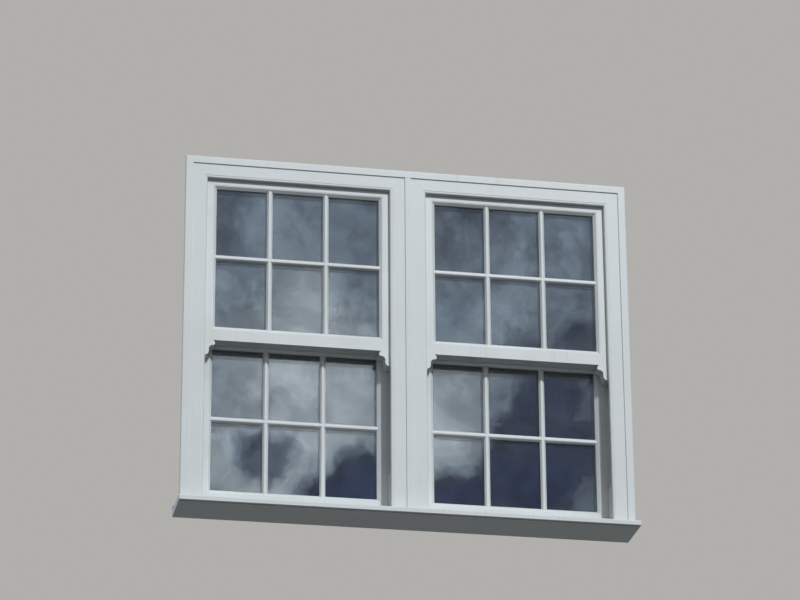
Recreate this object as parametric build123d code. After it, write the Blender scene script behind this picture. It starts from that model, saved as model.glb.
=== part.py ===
"""Coupled pair of white PVC-U vertical sliding sash windows with Georgian bars, horns and a projecting sill.

Frame of the model: +X to the right seen from outside, +Y into the building, +Z up, millimetres.
Y = 0 is the outer face of the two frames, Z = 0 the flat underside of the sill, X = 0 the mullion.
"""
import os
from build123d import *

# Outer frames, each welded from one section round head and jambs
frame_width = 836.0
frame_face = 68.0
frame_gap = 4.0
seat_z = 26.0
opening_height = 1292.0
flange_thickness = 16.0
flange_reach = 16.0
flange_round = 5.0
face_step_width = 10.0
face_step_depth = 1.0
rear_flange_thickness = 8.0
rear_flange_round = 3.0
parting_rib_thickness = 3.0
parting_rib_reach = 14.0
frame_sill_front_height = 12.0
frame_sill_rise = 4.0
frame_sill_step = 2.2
frame_sill_lip_height = 14.0
coupling_groove_width = 10.0
coupling_groove_depth = 4.0
coupling_groove_front_y = 30.0
coupling_groove_rear_y = 99.0
fixing_hole_radius = 4.5
fixing_hole_y = 24.0
fixing_hole_pitch = 320.0
fixing_hole_count = 4

# Sill under both frames
sill_projection = 58.0
sill_nose_height = 18.0
sill_nose_round = 3.0
sill_overhang = 7.0
sill_upstand_thickness = 3.7
sill_upstand_height = 16.0
drip_groove_width = 6.0
drip_groove_depth = 3.5
drip_groove_setback = 12.0
end_cap_thickness = 2.5

# Trims over the joints with the wall and between the frames
trim_width = 29.0
trim_overlap = 12.0
trim_thickness = 4.0
trim_return_depth = 10.0
trim_return_thickness = 5.0
trim_outer_round = 3.5
trim_inner_round = 1.5
mullion_cover_width = 23.0
mullion_inner_cover_thickness = 3.5
coupler_inset = 6.0

# Sashes: the same welded section all round, with a deeper meeting rail
sash_depth = 54.0
sash_face = 48.0
sash_side_clearance = 6.0
sash_head_clearance = 3.0
sash_slide_gap = 2.0
sash_rib_gap = 1.5
meeting_rail_extra = 9.0
sash_overlap = 30.0
glass_height_difference = 5.5
glazing_leg_thickness = 15.0
glazing_bevel_width = 13.0
glazing_bevel_drop = 9.5
glazing_step_depth = 0.8
glazing_bevel_round = 3.0
rebate_wall = 34.0
glass_bite = 12.0
pane_thickness = 4.0
unit_thickness = 24.0
spacer_width = 9.5
spacer_inset = 2.0
bead_flat = 4.0
bead_front_rim = 2.0
bar_width = 22.0
bar_height = 9.5
bar_top_width = 9.0
bar_rim = 1.5
bar_round = 4.0
bars_across = 2
edge_groove_width = 12.0
edge_groove_depth = 4.0
pile_groove_inset = 3.0
pile_groove_width = 5.0
pile_groove_depth = 2.2
pile_end_inset = 10.0
meeting_pile_rise = 14.0

# Run-through horns under the upper sashes, offsets from the stile's edge and below the rail
horn_height = 61.0
horn_top_reach = 42.0
horn_nose_reach = 50.0
horn_nose_drop = 13.0
horn_neck_reach = 41.0
horn_neck_drop = 20.5
horn_ledge_reach = 36.0
horn_ledge_drop = 22.0
horn_waist_reach = 27.0
horn_waist_drop = 36.0
horn_heel_drop = 45.0
horn_toe_reach = 10.0

# Spiral balances in the jamb grooves
balance_depth_in_sash = 22.0
balance_groove_width = 16.6
balance_groove_depth = 18.0
tube_outer_radius = 8.0
tube_inner_radius = 6.0
tube_cap = 4.0
tube_top_drop = 6.0
tube_shoe_clearance = 38.0
lower_travel = 500.0
rod_radius = 3.0
rod_overlap = 50.0
shoe_height = 60.0
shoe_below_bar = 14.0
pivot_bar_width = 8.0
pivot_bar_height = 12.0
pivot_bar_reach = 40.0
pivot_bar_rise = 14.0

# Tilt latches in the top rails and their slots in the jambs
latch_depth_in_sash = 45.5
latch_slot_width = 10.0
latch_slot_depth = 12.0
latch_height = 12.0
latch_rise = 20.0
latch_bolt_width = 9.0
latch_bolt_reach = 14.0
latch_bolt_length = 24.0
latch_body_length = 56.0
latch_travel = 9.0
latch_button_length = 16.0
latch_button_height = 2.5
latch_button_end = 6.0
latch_grip_count = 3
latch_grip_groove = 1.6

# Stops in the outer tracks that end the upper sash's travel
stop_block_height = 148.0
stop_block_bevel = 9.0
stop_block_side_gap = 2.0

# Cam fasteners, keeps and lifts
fastener_offset = 212.0
fastener_base_length = 60.0
fastener_base_width = 24.0
fastener_base_thickness = 4.0
fastener_boss_radius = 10.0
fastener_pin_radius = 3.0
fastener_head_radius = 6.0
fastener_head_height = 2.5
arm_thickness = 4.0
arm_hook_length = 40.0
arm_hook_width = 12.0
arm_lever_length = 38.0
arm_lever_tip_width = 9.0
keep_width = 32.0
keep_bead_clearance = 2.7
keep_plate_thickness = 1.5
keep_plate_height = 31.0
keep_hook_reach = 12.0
keep_hook_thickness = 2.0
keep_post_thickness = 3.0
lift_offset = 150.0
lift_width = 64.0
lift_plate_height = 17.0
lift_thickness = 3.0
lift_reach = 24.0
lift_lip_height = 9.0
lift_rise = 16.5
lift_round = 1.2

# Clearances
running_gap = 0.3
pin_gap = 0.3
bolt_gap = 0.5
pile_gap = 0.3

# Places that follow from the sizes above
window_offset = (frame_gap + frame_width) / 2
track_wall = frame_face - flange_reach
head_inner_z = seat_z + opening_height
frame_top_z = head_inner_z + frame_face
front_sash_y = flange_thickness + sash_slide_gap
rib_y = front_sash_y + sash_depth + sash_rib_gap
rear_sash_y = rib_y + parting_rib_thickness + sash_rib_gap
rear_flange_y = rear_sash_y + sash_depth + sash_slide_gap
frame_depth = rear_flange_y + rear_flange_thickness
sash_half_width = frame_width / 2 - track_wall - sash_side_clearance
frame_sill_z = seat_z + frame_sill_front_height + frame_sill_rise + frame_sill_step
trim_outer_x = window_offset + frame_width / 2 + trim_width - trim_overlap
trim_top_z = frame_top_z + trim_width - trim_overlap
sill_half_length = trim_outer_x + sill_overhang
rail_edge_to_glass = 2 * sash_face
upper_sash_top = frame_top_z - track_wall - sash_head_clearance
lower_sash_bottom = frame_sill_z + running_gap
glass_heights = upper_sash_top - lower_sash_bottom + sash_overlap - 2 * rail_edge_to_glass
upper_glass_height = (glass_heights + glass_height_difference) / 2
lower_glass_height = glass_heights - upper_glass_height
upper_sash_bottom = upper_sash_top - upper_glass_height - rail_edge_to_glass
lower_sash_top = lower_sash_bottom + lower_glass_height + rail_edge_to_glass
upper_rail_underside = upper_sash_bottom - meeting_rail_extra
stop_block_base = seat_z + frame_sill_front_height + frame_sill_rise + running_gap
upper_travel = upper_rail_underside - horn_height - stop_block_base - stop_block_height
lower_rail_top = lower_sash_top + meeting_rail_extra
tube_top = frame_top_z - track_wall - tube_top_drop
shoe_lift = pivot_bar_rise - shoe_below_bar + shoe_height
upper_tube_bottom = upper_sash_bottom + shoe_lift + tube_shoe_clearance
lower_tube_bottom = lower_sash_bottom + shoe_lift + lower_travel + tube_shoe_clearance
arm_z = upper_sash_bottom + sash_face + keep_bead_clearance + running_gap
fastener_boss_height = arm_z - running_gap - lower_rail_top
balance_centre_u = track_wall - balance_groove_depth + running_gap + tube_outer_radius
outward = {"left": -1, "right": 1}
upright = (Align.CENTER, Align.CENTER, Align.MIN)


def section(points, rounds=()):
    """Closed face through the points, with a radius at each (corner, radius) pair."""
    face = make_face(Polyline(*points, close=True))
    for corner, radius in rounds:
        nearest = face.vertices().sort_by_distance((corner[0], corner[1], 0))[0]
        face = fillet(nearest, radius)
    return face


def notch(edge, depth, first, last, direction=1):
    """Four corners of a groove cut from the line u = edge, between two places along v."""
    return [(edge, first), (edge - direction * depth, first), (edge - direction * depth, last), (edge, last)]


def mitred_bar(profile, length, reach, mitre_start=True, mitre_end=True):
    """Bar along local Z with its outer edge on local X = 0, its ends cut at 45 degrees or square."""
    bar = extrude(profile, amount=length)
    start = reach if mitre_start else 0
    end = length - reach if mitre_end else length
    corners = [(0, 0), (reach, start), (reach, end), (0, length)]
    wedge = extrude(make_face(Plane.XZ * Polyline(*corners, close=True)), amount=2 * frame_depth, both=True)
    return bar & wedge


def placed(bar, corner, run, inward):
    """Moves a bar made in local axes to a corner of its rectangle, running one way and facing inward."""
    return Plane(origin=corner, x_dir=inward, z_dir=run).location * bar


def ring(profiles, left, right, bottom, top, y, reach):
    """Four mitred bars round a rectangle in the order bottom, left, top, right."""
    width, height = right - left, top - bottom
    sides = (
        (profiles[0], width, (right, y, bottom), (-1, 0, 0), (0, 0, 1)),
        (profiles[1], height, (left, y, bottom), (0, 0, 1), (1, 0, 0)),
        (profiles[2], width, (left, y, top), (1, 0, 0), (0, 0, -1)),
        (profiles[3], height, (right, y, top), (0, 0, -1), (-1, 0, 0)),
    )
    return [placed(mitred_bar(p, size, reach), corner, run, inward) for p, size, corner, run, inward in sides]


def box(x0, x1, y0, y1, z0, z1):
    """Rectangular block between two corners, given in any order."""
    low = (min(x0, x1), min(y0, y1), min(z0, z1))
    size = (abs(x1 - x0), abs(y1 - y0), abs(z1 - z0))
    return Pos(*low) * Box(*size, align=(Align.MIN, Align.MIN, Align.MIN))


def fuse(pieces):
    """One solid from several that meet or overlap."""
    whole = pieces[0]
    for piece in pieces[1:]:
        whole = whole + piece
    return whole


def along_x(face, x0, x1):
    """Extrusion along X of a face drawn in (y, z)."""
    return Plane(origin=(x0, 0, 0), x_dir=(0, 1, 0), z_dir=(1, 0, 0)).location * extrude(face, x1 - x0)


def frame_section():
    """Section of head and jambs: u from the outer edge inward, v from the outer face into the room."""
    inner, wall = frame_face, track_wall
    step_u = inner - face_step_width
    points = [(0, 0), (step_u, 0), (step_u, face_step_depth), (inner, face_step_depth)]
    points += [(inner, flange_thickness), (wall, flange_thickness)]
    for sash_y, track_end in ((front_sash_y, rib_y), (rear_sash_y, rear_flange_y)):
        groove_mid = sash_y + balance_depth_in_sash
        slot_mid = sash_y + latch_depth_in_sash
        half_groove, half_slot = balance_groove_width / 2, latch_slot_width / 2
        points += notch(wall, balance_groove_depth, groove_mid - half_groove, groove_mid + half_groove)
        points += notch(wall, latch_slot_depth, slot_mid - half_slot, slot_mid + half_slot)
        points.append((wall, track_end))
        if track_end == rib_y:
            rib_end, rib_reach = rib_y + parting_rib_thickness, wall + parting_rib_reach
            points += [(rib_reach, rib_y), (rib_reach, rib_end), (wall, rib_end)]
    points += [(inner, rear_flange_y), (inner, frame_depth), (0, frame_depth)]
    for groove_y in (coupling_groove_rear_y, coupling_groove_front_y):
        points += notch(0, coupling_groove_depth, groove_y + coupling_groove_width, groove_y, direction=-1)
    rounds = [((inner, face_step_depth), flange_round), ((inner, frame_depth), rear_flange_round)]
    return section(points, rounds)


def frame_sill_bar(centre_x):
    """Bottom member of a frame: drained slope in front, seat for the lower sash, lip towards the room."""
    front = seat_z + frame_sill_front_height
    slope_end = rib_y + parting_rib_thickness
    lip_z = frame_sill_z + frame_sill_lip_height
    points = [(0, seat_z), (0, front), (slope_end, front + frame_sill_rise), (slope_end, frame_sill_z)]
    points += [(rear_flange_y, frame_sill_z), (rear_flange_y, lip_z)]
    points += [(frame_depth, lip_z), (frame_depth, seat_z)]
    half = frame_width / 2 - track_wall
    face = section(points, [((frame_depth, lip_z), rear_flange_round)])
    return along_x(face, centre_x - half, centre_x + half)


def frame(centre_x, wall_side):
    """Welded outer frame; the jamb towards the wall has the fixing holes."""
    half = frame_width / 2
    left, right = centre_x - half, centre_x + half
    height = frame_top_z - seat_z
    profile = frame_section()
    jamb_up = mitred_bar(profile, height, frame_face, mitre_start=False)
    jamb_down = mitred_bar(profile, height, frame_face, mitre_end=False)
    head = mitred_bar(profile, frame_width, frame_face)
    pieces = [
        placed(jamb_up, (left, 0, seat_z), (0, 0, 1), (1, 0, 0)),
        placed(head, (left, 0, frame_top_z), (1, 0, 0), (0, 0, -1)),
        placed(jamb_down, (right, 0, frame_top_z), (0, 0, -1), (-1, 0, 0)),
        frame_sill_bar(centre_x),
    ]
    welded = fuse(pieces)
    middle_z = (seat_z + frame_top_z) / 2
    hole_x = centre_x + wall_side * (half - track_wall / 2)
    for index in range(fixing_hole_count):
        z = middle_z + (index - (fixing_hole_count - 1) / 2) * fixing_hole_pitch
        welded -= Pos(hole_x, fixing_hole_y, z) * Rot(0, 90, 0) * Cylinder(fixing_hole_radius, track_wall + 2)
    return welded


def sill_face():
    """Section of the sill in (y, z): sloped top, rounded nose, drip groove and upstand behind the frames."""
    nose_y = -sill_projection
    drip_y = nose_y + drip_groove_setback
    back_y = frame_depth + running_gap
    rear_y = back_y + sill_upstand_thickness
    upstand_z = seat_z + sill_upstand_height
    points = [(nose_y, 0), (nose_y, sill_nose_height), (0, seat_z), (back_y, seat_z), (back_y, upstand_z)]
    points += [(rear_y, upstand_z), (rear_y, 0), (drip_y + drip_groove_width, 0)]
    points += [(drip_y + drip_groove_width, drip_groove_depth), (drip_y, drip_groove_depth), (drip_y, 0)]
    rounds = [((nose_y, sill_nose_height), sill_nose_round), ((nose_y, 0), sill_nose_round / 2)]
    rounds.append(((rear_y, upstand_z), sill_upstand_thickness / 3))
    return section(points, rounds)


def sill():
    """Sill between its end caps."""
    half = sill_half_length - end_cap_thickness
    return along_x(sill_face(), -half, half)


def sill_end_caps():
    """Two thin caps of the sill's own outline."""
    inner = sill_half_length - end_cap_thickness
    return [along_x(sill_face(), -sill_half_length, -inner), along_x(sill_face(), inner, sill_half_length)]


def trim_section():
    """Wall trim: a flat over the frame's edge with a rounded return to the brickwork."""
    front, back = -trim_thickness, trim_return_depth
    points = [(0, back), (0, front), (trim_width, front), (trim_width, 0)]
    points += [(trim_return_thickness, 0), (trim_return_thickness, back)]
    return section(points, [((0, front), trim_outer_round), ((trim_width, front), trim_inner_round)])


def wall_trims():
    """Left, head and right trims, mitred where they meet."""
    height = trim_top_z - seat_z
    profile = trim_section()
    up = mitred_bar(profile, height, trim_width, mitre_start=False)
    across = mitred_bar(profile, 2 * trim_outer_x, trim_width)
    down = mitred_bar(profile, height, trim_width, mitre_end=False)
    return {
        "left_trim": placed(up, (-trim_outer_x, 0, seat_z), (0, 0, 1), (1, 0, 0)),
        "head_trim": placed(across, (-trim_outer_x, 0, trim_top_z), (1, 0, 0), (0, 0, -1)),
        "right_trim": placed(down, (trim_outer_x, 0, trim_top_z), (0, 0, -1), (-1, 0, 0)),
    }


def mullion_coupler():
    """Strip between the frames with tongues in their coupling grooves."""
    half_gap = frame_gap / 2
    tongue = half_gap + coupling_groove_depth - running_gap
    half_side = [(half_gap, coupler_inset)]
    for groove_y in (coupling_groove_front_y, coupling_groove_rear_y):
        low, high = groove_y + running_gap, groove_y + coupling_groove_width - running_gap
        half_side += [(half_gap, low), (tongue, low), (tongue, high), (half_gap, high)]
    half_side.append((half_gap, frame_depth - coupler_inset))
    mirrored = [(-x, y) for x, y in reversed(half_side)]
    return Pos(0, 0, seat_z) * extrude(section(half_side + mirrored), frame_top_z - seat_z)


def cover_strip(front_y, thickness, z0, z1, facing):
    """Flat strip over the joint between the frames, with its two free edges rounded."""
    half = mullion_cover_width / 2
    outer_y = front_y + facing * thickness
    points = [(-half, front_y), (half, front_y), (half, outer_y), (-half, outer_y)]
    face = section(points, [((-half, outer_y), trim_inner_round), ((half, outer_y), trim_inner_round)])
    return Pos(0, 0, z0) * extrude(face, z1 - z0)


def stop_blocks():
    """Blocks in the foot of each outer track that carry the upper sash at the end of its travel."""
    blocks = []
    for window in outward.values():
        for side in outward.values():
            deep = window * window_offset + side * (frame_width / 2 - track_wall)
            shallow = deep - side * parting_rib_reach
            y0, y1 = front_sash_y + stop_block_side_gap, rib_y - stop_block_side_gap
            block = box(deep, shallow, y0, y1, stop_block_base, stop_block_base + stop_block_height)
            top_edges = block.edges().group_by(Axis.Z)[-1].filter_by(Axis.Y).sort_by(Axis.X)
            blocks.append(chamfer(top_edges[0 if side > 0 else -1], stop_block_bevel))
    return blocks


def sash_section(sealed):
    """Sash section: p from the outer edge to the sight line, q from the outer face into the room."""
    bevel_p = sash_face - glazing_bevel_width
    edge_q = balance_depth_in_sash - edge_groove_width / 2
    first, last = pile_groove_inset, pile_groove_inset + pile_groove_width
    deep = pile_groove_depth
    front = [(first, 0), (first, deep), (last, deep), (last, 0)] if sealed else []
    rear = [(last, sash_depth), (last, sash_depth - deep), (first, sash_depth - deep), (first, sash_depth)]
    points = [(0, 0)] + front
    shoulder = (bevel_p + glazing_bevel_round, glazing_step_depth)
    points += [(bevel_p, 0), (bevel_p, glazing_step_depth), shoulder]
    points += [(sash_face, glazing_bevel_drop), (sash_face, glazing_leg_thickness)]
    points += [(rebate_wall, glazing_leg_thickness), (rebate_wall, sash_depth)]
    points += (rear if sealed else []) + [(0, sash_depth)]
    points += notch(0, edge_groove_depth, edge_q + edge_groove_width, edge_q, direction=-1)
    return section(points, [(shoulder, glazing_bevel_round)])


def sash_span(centre_x):
    """Left and right edges of a sash."""
    return centre_x - sash_half_width, centre_x + sash_half_width


def sash(centre_x, y, bottom, top, meeting_at_top):
    """Welded sash with its deeper meeting rail, pivot bar pockets and latch pockets."""
    left, right = sash_span(centre_x)
    rail, stile = sash_section(sealed=False), sash_section(sealed=True)
    body = fuse(ring((rail, stile, rail, stile), left, right, bottom, top, y, sash_face))
    meeting_z = (top, top + meeting_rail_extra) if meeting_at_top else (bottom - meeting_rail_extra, bottom)
    body += box(left, right, y, y + sash_depth, *meeting_z)
    if not meeting_at_top:
        body -= meeting_pile_strip(centre_x, y, bottom, 0, pile_groove_depth, 0)
    pivot_y = y + balance_depth_in_sash
    pivot_half = pivot_bar_width / 2 + running_gap
    pivot_z = bottom + pivot_bar_rise
    pivot_rise = pivot_bar_height / 2 + running_gap
    latch_y = y + latch_depth_in_sash - latch_bolt_width / 2 - running_gap
    latch_z = top - latch_rise
    latch_half = latch_height / 2 + running_gap
    pocket = latch_bolt_length - latch_bolt_reach + latch_body_length + latch_travel + running_gap
    for side in outward.values():
        edge = centre_x + side * sash_half_width
        bar_end = edge - side * (pivot_bar_reach + running_gap)
        latch_end = edge - side * pocket
        pivot_span = (pivot_y - pivot_half, pivot_y + pivot_half, pivot_z - pivot_rise, pivot_z + pivot_rise)
        body -= box(edge, bar_end, *pivot_span)
        body -= box(edge, latch_end, latch_y, y + sash_depth, latch_z - latch_half, latch_z + latch_half)
    return body


def glass(centre_x, y, bottom, top):
    """Two panes of the sealed unit."""
    edge = sash_face - glass_bite
    left, right = sash_span(centre_x)
    outer_y = y + glazing_leg_thickness
    inner_y = outer_y + unit_thickness - pane_thickness
    extent = (left + edge, right - edge)
    height = (bottom + edge, top - edge)
    return [box(*extent, face_y, face_y + pane_thickness, *height) for face_y in (outer_y, inner_y)]


def spacer(centre_x, y, bottom, top):
    """Spacer bar between the panes, one bent frame."""
    inset = sash_face - glass_bite + spacer_inset
    left, right = sash_span(centre_x)
    q0 = glazing_leg_thickness + pane_thickness
    q1 = glazing_leg_thickness + unit_thickness - pane_thickness
    face = section([(0, q0), (spacer_width, q0), (spacer_width, q1), (0, q1)])
    return fuse(ring((face,) * 4, left + inset, right - inset, bottom + inset, top - inset, y, spacer_width))


def beads(centre_x, y, bottom, top):
    """Four glazing beads on the room side, mitred at the corners."""
    left, right = sash_span(centre_x)
    q0 = glazing_leg_thickness + unit_thickness
    span = sash_face - rebate_wall
    points = [(0, q0), (span, q0), (span, q0 + bead_front_rim), (bead_flat, sash_depth), (0, sash_depth)]
    face = section(points)
    edge = rebate_wall
    return ring((face,) * 4, left + edge, right - edge, bottom + edge, top - edge, y, span)


def bar_face():
    """Section of a planted glazing bar: base on the glass, sloping sides, well-rounded top."""
    half, half_top = bar_width / 2, bar_top_width / 2
    points = [(-half, 0), (half, 0), (half, bar_rim), (half_top, bar_height), (-half_top, bar_height)]
    points.append((-half, bar_rim))
    return section(points, [((half_top, bar_height), bar_round), ((-half_top, bar_height), bar_round)])


def glazing_bars(centre_x, y, bottom, top):
    """Grilles on both faces of the unit: a through bar across, and uprights scribed to it."""
    glass_left, glass_right = (edge + sign * sash_face for edge, sign in zip(sash_span(centre_x), (1, -1)))
    glass_bottom, glass_top = bottom + sash_face, top - sash_face
    middle_z = (glass_bottom + glass_top) / 2
    width = glass_right - glass_left
    pane_width = (width - bars_across * bar_width) / (bars_across + 1)
    faces = ((y + glazing_leg_thickness, -1), (y + glazing_leg_thickness + unit_thickness, 1))
    bars = []
    for glass_y, out in faces:
        across = Plane(origin=(glass_left, glass_y, middle_z), x_dir=(0, 0, -out), z_dir=(1, 0, 0))
        through = across.location * extrude(bar_face(), width)
        bars.append(through)
        for index in range(bars_across):
            x = glass_left + (index + 1) * (pane_width + bar_width) - bar_width / 2
            up = Plane(origin=(x, glass_y, glass_bottom), x_dir=(out, 0, 0), z_dir=(0, 0, 1))
            standing = up.location * extrude(bar_face(), glass_top - glass_bottom)
            bars += (standing - through).solids()
    return bars


def meeting_pile_strip(centre_x, y, bottom, clearance, depth, reach):
    """Strip along the back of the upper sash's meeting rail, or the groove that holds it."""
    left, right = sash_span(centre_x)
    z0 = bottom - meeting_rail_extra + meeting_pile_rise + clearance
    z1 = z0 + pile_groove_width - 2 * clearance
    inset = sash_side_clearance + parting_rib_reach
    rear_y = y + sash_depth
    return box(left + inset + clearance, right - inset - clearance, rear_y - depth, rear_y + reach, z0, z1)


def pile_seals(centre_x, y, bottom, top, front_gap, rear_gap, meeting_pile):
    """Brush strips in the stiles' grooves, towards the flange or rib on each side."""
    strips = []
    z0, z1 = bottom + pile_end_inset, top - latch_rise - latch_height
    rear_y = y + sash_depth
    front_span = (y - front_gap + pile_gap, y + pile_groove_depth)
    rear_span = (rear_y - pile_groove_depth, rear_y + rear_gap - pile_gap)
    for side in outward.values():
        edge = centre_x + side * sash_half_width
        first = edge - side * (pile_groove_inset + pile_gap)
        last = edge - side * (pile_groove_inset + pile_groove_width - pile_gap)
        strips += [box(first, last, *span, z0, z1) for span in (front_span, rear_span)]
    if meeting_pile:
        reach = rear_sash_y - rear_y - pile_gap
        strips.append(meeting_pile_strip(centre_x, y, bottom, pile_gap, pile_groove_depth, reach))
    return strips


def horn_outline(centre_x, side, rail_z):
    """Ogee outline of one horn: nose, neck, waist and toe."""
    def at(reach, drop):
        return (centre_x + side * (sash_half_width - reach), 0, rail_z - drop)

    nose, neck = at(horn_nose_reach, horn_nose_drop), at(horn_neck_reach, horn_neck_drop)
    brow = at(horn_nose_reach - 1.5, horn_nose_drop / 2)
    chin = at(horn_nose_reach - 2.5, horn_neck_drop - 1.8)
    ledge, waist = at(horn_ledge_reach, horn_ledge_drop), at(horn_waist_reach, horn_waist_drop)
    hollow = at(horn_waist_reach + 2.2, horn_ledge_drop + 5.5)
    heel, toe = at(horn_waist_reach, horn_heel_drop), at(horn_toe_reach, horn_height)
    calf = at(horn_waist_reach - 4.2, horn_height - 5.8)
    return [
        Line(at(0, 0), at(horn_top_reach, 0)),
        ThreePointArc(at(horn_top_reach, 0), brow, nose),
        ThreePointArc(nose, chin, neck),
        Line(neck, ledge),
        ThreePointArc(ledge, hollow, waist),
        Line(waist, heel),
        ThreePointArc(heel, calf, toe),
        Line(toe, at(0, horn_height)),
        Line(at(0, horn_height), at(0, 0)),
    ]


def horns(centre_x, y, rail_z):
    """Pair of horns planted under the ends of an upper sash's meeting rail."""
    pair = []
    for side in outward.values():
        face = make_face(Wire(horn_outline(centre_x, side, rail_z)))
        pair.append(Pos(0, y, 0) * extrude(face, amount=sash_depth, dir=(0, 1, 0)))
    return pair


def balance_x(centre_x, side):
    """Centre of a balance tube across the window."""
    return centre_x + side * (frame_width / 2 - balance_centre_u)


def balance_tubes():
    """Spring tubes fixed at the head, one in each groove, with a closed top."""
    tubes = []
    for window in outward.values():
        for side in outward.values():
            x = balance_x(window * window_offset, side)
            for sash_y, bottom in ((front_sash_y, upper_tube_bottom), (rear_sash_y, lower_tube_bottom)):
                length = tube_top - bottom
                tube = Cylinder(tube_outer_radius, length, align=upright)
                tube -= Cylinder(tube_inner_radius, length - tube_cap, align=upright)
                tubes.append(Pos(x, sash_y + balance_depth_in_sash, bottom) * tube)
    return tubes


def balance_carriages(centre_x, y, bottom, tube_bottom, drawn_out):
    """Shoe, rod and pivot bar on each side of a sash; the rod stays in its tube when drawn out."""
    pieces = []
    bar_z = bottom + pivot_bar_rise
    shoe_z = bar_z - shoe_below_bar
    mid_y = y + balance_depth_in_sash
    half_y = balance_groove_width / 2 - running_gap
    for side in outward.values():
        deep = centre_x + side * (frame_width / 2 - track_wall + balance_groove_depth - running_gap)
        mouth = centre_x + side * (frame_width / 2 - track_wall + running_gap)
        bar_end = centre_x + side * (sash_half_width - pivot_bar_reach)
        half_bar, half_height = pivot_bar_width / 2, pivot_bar_height / 2
        rod_z = shoe_z + shoe_height
        rod_length = tube_bottom + drawn_out + rod_overlap - rod_z
        rod = Cylinder(rod_radius, rod_length, align=upright)
        pieces.append(box(deep, mouth, mid_y - half_y, mid_y + half_y, shoe_z, rod_z))
        pieces.append(Pos(balance_x(centre_x, side), mid_y, rod_z) * rod)
        z0, z1 = bar_z - half_height, bar_z + half_height
        pieces.append(box(mouth, bar_end, mid_y - half_bar, mid_y + half_bar, z0, z1))
    return pieces


def tilt_latch(centre_x, side, y, top):
    """Sliding latch: bolt in the jamb's slot, body in the top rail's pocket, ribbed thumb button."""
    edge = centre_x + side * sash_half_width
    z0, z1 = top - latch_rise - latch_height / 2, top - latch_rise + latch_height / 2
    bolt_y = y + latch_depth_in_sash - latch_bolt_width / 2
    tip = edge + side * latch_bolt_reach
    shoulder = tip - side * latch_bolt_length
    back = shoulder - side * latch_body_length
    bolt = box(tip, shoulder, bolt_y, bolt_y + latch_bolt_width, z0, z1)
    body = box(shoulder, back, bolt_y, y + sash_depth - running_gap, z0, z1)
    button_end = back + side * latch_button_end
    button_y = y + sash_depth - running_gap
    proud = latch_button_height + running_gap
    button_start = button_end + side * latch_button_length
    button = box(button_end, button_start, button_y, button_y + proud, z0 + 1, z1 - 1)
    pitch = latch_button_length / (latch_grip_count + 1)
    for index in range(latch_grip_count):
        x = button_end + side * (index + 1) * pitch
        half = latch_grip_groove / 2
        button -= box(x - half, x + half, button_y + proud / 2, button_y + 2 * proud, z0, z1)
    return bolt + body + button


def fastener_base(x):
    """Base of a cam fastener: plate with round ends, boss, pin and the head over the arm."""
    y = rear_sash_y + sash_depth / 2
    plate = extrude(SlotOverall(fastener_base_length, fastener_base_width), fastener_base_thickness)
    boss = Cylinder(fastener_boss_radius, fastener_boss_height, align=upright)
    arm_top = fastener_boss_height + 2 * running_gap + arm_thickness
    pin = Cylinder(fastener_pin_radius, arm_top + fastener_head_height, align=upright)
    head = Pos(0, 0, arm_top) * Cylinder(fastener_head_radius, fastener_head_height, align=upright)
    return Pos(x, y, lower_rail_top) * (plate + boss + pin + head)


def fastener_arm(x, side):
    """Cam arm as it lies unlocked along the rail: hook towards the middle, thumb lever outward."""
    y = rear_sash_y + sash_depth / 2
    half_hook, half_tip, hub = arm_hook_width / 2, arm_lever_tip_width / 2, fastener_boss_radius
    hook = Pos(-(arm_hook_length - half_hook) / 2, 0) * Rectangle(arm_hook_length - half_hook, arm_hook_width)
    hook += Pos(half_hook - arm_hook_length, 0) * Circle(half_hook)
    lever_end = arm_lever_length - half_tip
    corners = ((0, -half_hook), (lever_end, -half_tip), (lever_end, half_tip), (0, half_hook))
    lever = make_face(Polyline(*corners, close=True))
    lever += Pos(lever_end, 0) * Circle(half_tip)
    outline = hook + lever + Circle(hub) - Circle(fastener_pin_radius + pin_gap)
    turn = 0 if side > 0 else 180
    return Pos(x, y, arm_z) * Rot(0, 0, turn) * extrude(outline, arm_thickness)


def keep(x, side):
    """Keep on the upper sash's meeting rail: plate, post and the hook that the arm turns under."""
    face_y = front_sash_y + sash_depth
    plate_y = face_y + keep_plate_thickness
    hook_y = face_y - keep_hook_reach
    half = keep_width / 2
    plate_top, hook_z = arm_z - running_gap, arm_z + arm_thickness + running_gap
    plate = box(x - half, x + half, face_y, plate_y, plate_top - keep_plate_height, plate_top)
    post = box(x + side * half, x + side * (half - keep_post_thickness), hook_y, plate_y, plate_top, hook_z)
    hook = box(x - half, x + half, hook_y, plate_y, hook_z, hook_z + keep_hook_thickness)
    return plate + post + hook


def sash_lift(x, bottom):
    """Finger lift on the lower sash's bottom rail, a plate with a turned-up lip."""
    face_y = rear_sash_y + sash_depth
    z0 = bottom + lift_rise
    plate_y = face_y + lift_thickness
    top_z = z0 + lift_plate_height
    end_y, lip_z = face_y + lift_reach, z0 + lift_lip_height
    inner_y = end_y - lift_thickness
    points = [(face_y, z0), (end_y, z0), (end_y, lip_z), (inner_y, lip_z), (inner_y, z0 + lift_thickness)]
    points += [(plate_y, z0 + lift_thickness), (plate_y, top_z), (face_y, top_z)]
    rounds = [((end_y, z0), lift_thickness), ((end_y, lip_z), lift_round), ((inner_y, lip_z), lift_round)]
    return along_x(section(points, rounds), x - lift_width / 2, x + lift_width / 2)


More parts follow.
